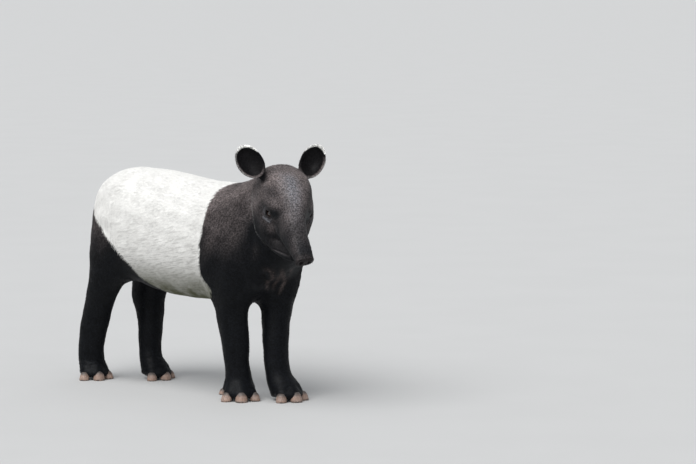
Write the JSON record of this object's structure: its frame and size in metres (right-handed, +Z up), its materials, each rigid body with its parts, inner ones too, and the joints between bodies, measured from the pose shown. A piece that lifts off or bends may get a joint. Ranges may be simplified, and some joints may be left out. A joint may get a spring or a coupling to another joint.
{
  "type": "malayan tapir",
  "caption": "Half-grown malayan tapir standing at rest, head turned a little to its right, as a still life-size museum model.",
  "frame": {"origin": "on the ground, below the middle of the whole animal", "axes": "+Z up; the body's fore end points along -Y and its rump along +Y; the animal's left side is +X"},
  "size_m": [0.387, 1.2159, 0.8656],
  "materials": {
    "black coat": "short flat brownish black hair",
    "white coat": "short flat white hair",
    "hoof horn": "dull pinkish brown horn",
    "eye": "wet dark brown"
  },
  "bodies": {
    "root": {"torso": "white coat", "tail": "black coat", "neck": "black coat", "head": "black coat", "snout": "black coat", "ear_r": "black coat", "ear_l": "black coat", "eye_l": "eye", "eye_r": "eye", "foreleg_r": "black coat", "hoof_foreleg_r_mid": "hoof horn", "hoof_foreleg_r_inner": "hoof horn", "hoof_foreleg_r_outer": "hoof horn", "hoof_foreleg_r_small": "hoof horn", "foreleg_l": "black coat", "hoof_foreleg_l_mid": "hoof horn", "hoof_foreleg_l_inner": "hoof horn", "hoof_foreleg_l_outer": "hoof horn", "hoof_foreleg_l_small": "hoof horn", "hindleg_r": "black coat", "hoof_hindleg_r_mid": "hoof horn", "hoof_hindleg_r_inner": "hoof horn", "hoof_hindleg_r_outer": "hoof horn", "hindleg_l": "black coat", "hoof_hindleg_l_mid": "hoof horn", "hoof_hindleg_l_inner": "hoof horn", "hoof_hindleg_l_outer": "hoof horn"}
  },
  "joints": []
}
